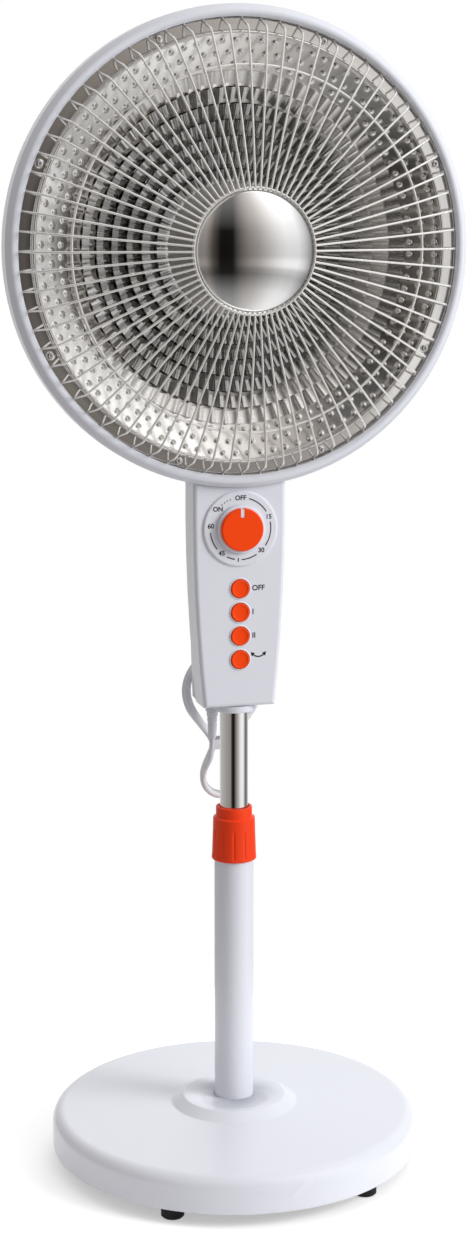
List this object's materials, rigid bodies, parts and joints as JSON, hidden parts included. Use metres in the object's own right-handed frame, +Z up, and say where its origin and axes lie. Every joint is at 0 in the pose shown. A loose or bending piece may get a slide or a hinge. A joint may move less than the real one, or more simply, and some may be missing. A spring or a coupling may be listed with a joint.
{
  "type": "pedestal carbon heater",
  "caption": "Pedestal carbon heater: round wire-guarded reflector head on a tapered timer and button housing, telescopic pole and weighted round base.",
  "frame": {"origin": "on the floor under the pole, in the plane of the feet", "axes": "+Z up along the pole, the head faces -Y, +X to the right of someone facing the heater"},
  "size_m": [0.4, 0.328, 1.012],
  "materials": {
    "white_gloss": "glossy moulded plastic, cool white",
    "white_paint": "white painted steel tube",
    "orange_gloss": "glossy orange moulding",
    "orange_nut": "satin orange moulding",
    "chrome": "bright chrome plate",
    "chrome_wire": "bright plated wire",
    "mirror_sheet": "polished aluminium sheet",
    "steel": "plain zinc plated steel",
    "black_steel": "black painted sheet",
    "cast_iron": "rough ballast ring",
    "foot_rubber": "black rubber",
    "natural_plastic": "plain engineering plastic",
    "ceramic_white": "unglazed ceramic",
    "quartz": "clear quartz",
    "carbon": "woven carbon filament",
    "cord_white": "satin grey white jacket",
    "tie_white": "soft plastic strap",
    "plug_brass": "nickel brass pins"
  },
  "bodies": {
    "stand": {"base_cover": "white_gloss", "base_plate": "black_steel", "base_weight": "cast_iron", "pole_flange": "steel", "base_bolt": "steel", "outer_tube": "white_paint", "tube_collet": "natural_plastic", "foot_front_left": "foot_rubber", "foot_front_right": "foot_rubber", "foot_side_left": "foot_rubber", "foot_side_right": "foot_rubber", "foot_rear": "foot_rubber"},
    "lock_nut": {"lock_nut": "orange_nut"},
    "pole": {"inner_tube": "chrome", "tube_bush": "natural_plastic", "swing_socket": "white_gloss", "swing_yoke": "steel"},
    "upper": {"control_front": "white_gloss", "control_rear": "white_gloss", "swing_sleeve": "natural_plastic", "motor_bracket": "steel", "swing_motor": "steel", "terminal_block": "ceramic_white", "timer_body": "natural_plastic", "switch_block": "natural_plastic", "trim_ring": "white_gloss", "rear_shell": "white_gloss", "reflector": "mirror_sheet", "grille": "chrome_wire", "dome_cap": "chrome", "dome_back": "steel", "element_cap": "ceramic_white", "quartz_tube_left": "quartz", "quartz_tube_right": "quartz", "carbon_left": "carbon", "carbon_right": "carbon", "element_base": "ceramic_white", "element_bracket": "steel", "strain_relief": "cord_white", "cord_hank": "cord_white", "cord_tie": "tie_white", "plug_body": "cord_white", "plug_pins": "plug_brass"},
    "swing_crank": {"swing_crank": "natural_plastic"},
    "timer_knob": {"knob_skirt": "white_gloss", "knob_cap": "orange_gloss", "timer_shaft": "steel"},
    "button_swing": {"button_swing": "orange_gloss"},
    "button_full": {"button_full": "orange_gloss"},
    "button_half": {"button_half": "orange_gloss"},
    "button_off": {"button_off": "orange_gloss"}
  },
  "joints": [
    {"name": "height_slide", "type": "slide", "parent": "stand", "child": "pole", "axis": [0, 0, 1], "range_m": [-0.08, 0.12]},
    {"name": "lock_nut_turn", "type": "hinge", "parent": "stand", "child": "lock_nut", "pos_m": [0, 0, 0.3], "axis": [0, 0, 1], "range_deg": [0, 120]},
    {"name": "swing_turn", "type": "hinge", "parent": "pole", "child": "upper", "pos_m": [0, 0, 0.43], "axis": [0, 0, 1], "range_deg": [-30, 30]},
    {"name": "crank_turn", "type": "hinge", "parent": "upper", "child": "swing_crank", "pos_m": [0, 0.02, 0.4476], "axis": [0, 0, 1], "continuous": true},
    {"name": "timer_turn", "type": "hinge", "parent": "upper", "child": "timer_knob", "pos_m": [0, -0.024, 0.5758], "axis": [0, 1, 0], "range_deg": [-45, 280]},
    {"name": "button_off_press", "type": "slide", "parent": "upper", "child": "button_off", "axis": [0, 1, 0], "range_m": [0, 0.004], "stiffness_N_per_m": 400, "springref_m": -0.001},
    {"name": "button_half_press", "type": "slide", "parent": "upper", "child": "button_half", "axis": [0, 1, 0], "range_m": [0, 0.004], "stiffness_N_per_m": 400, "springref_m": -0.001},
    {"name": "button_full_press", "type": "slide", "parent": "upper", "child": "button_full", "axis": [0, 1, 0], "range_m": [0, 0.004], "stiffness_N_per_m": 400, "springref_m": -0.001},
    {"name": "button_swing_press", "type": "slide", "parent": "upper", "child": "button_swing", "axis": [0, 1, 0], "range_m": [0, 0.004], "stiffness_N_per_m": 400, "springref_m": -0.001}
  ]
}
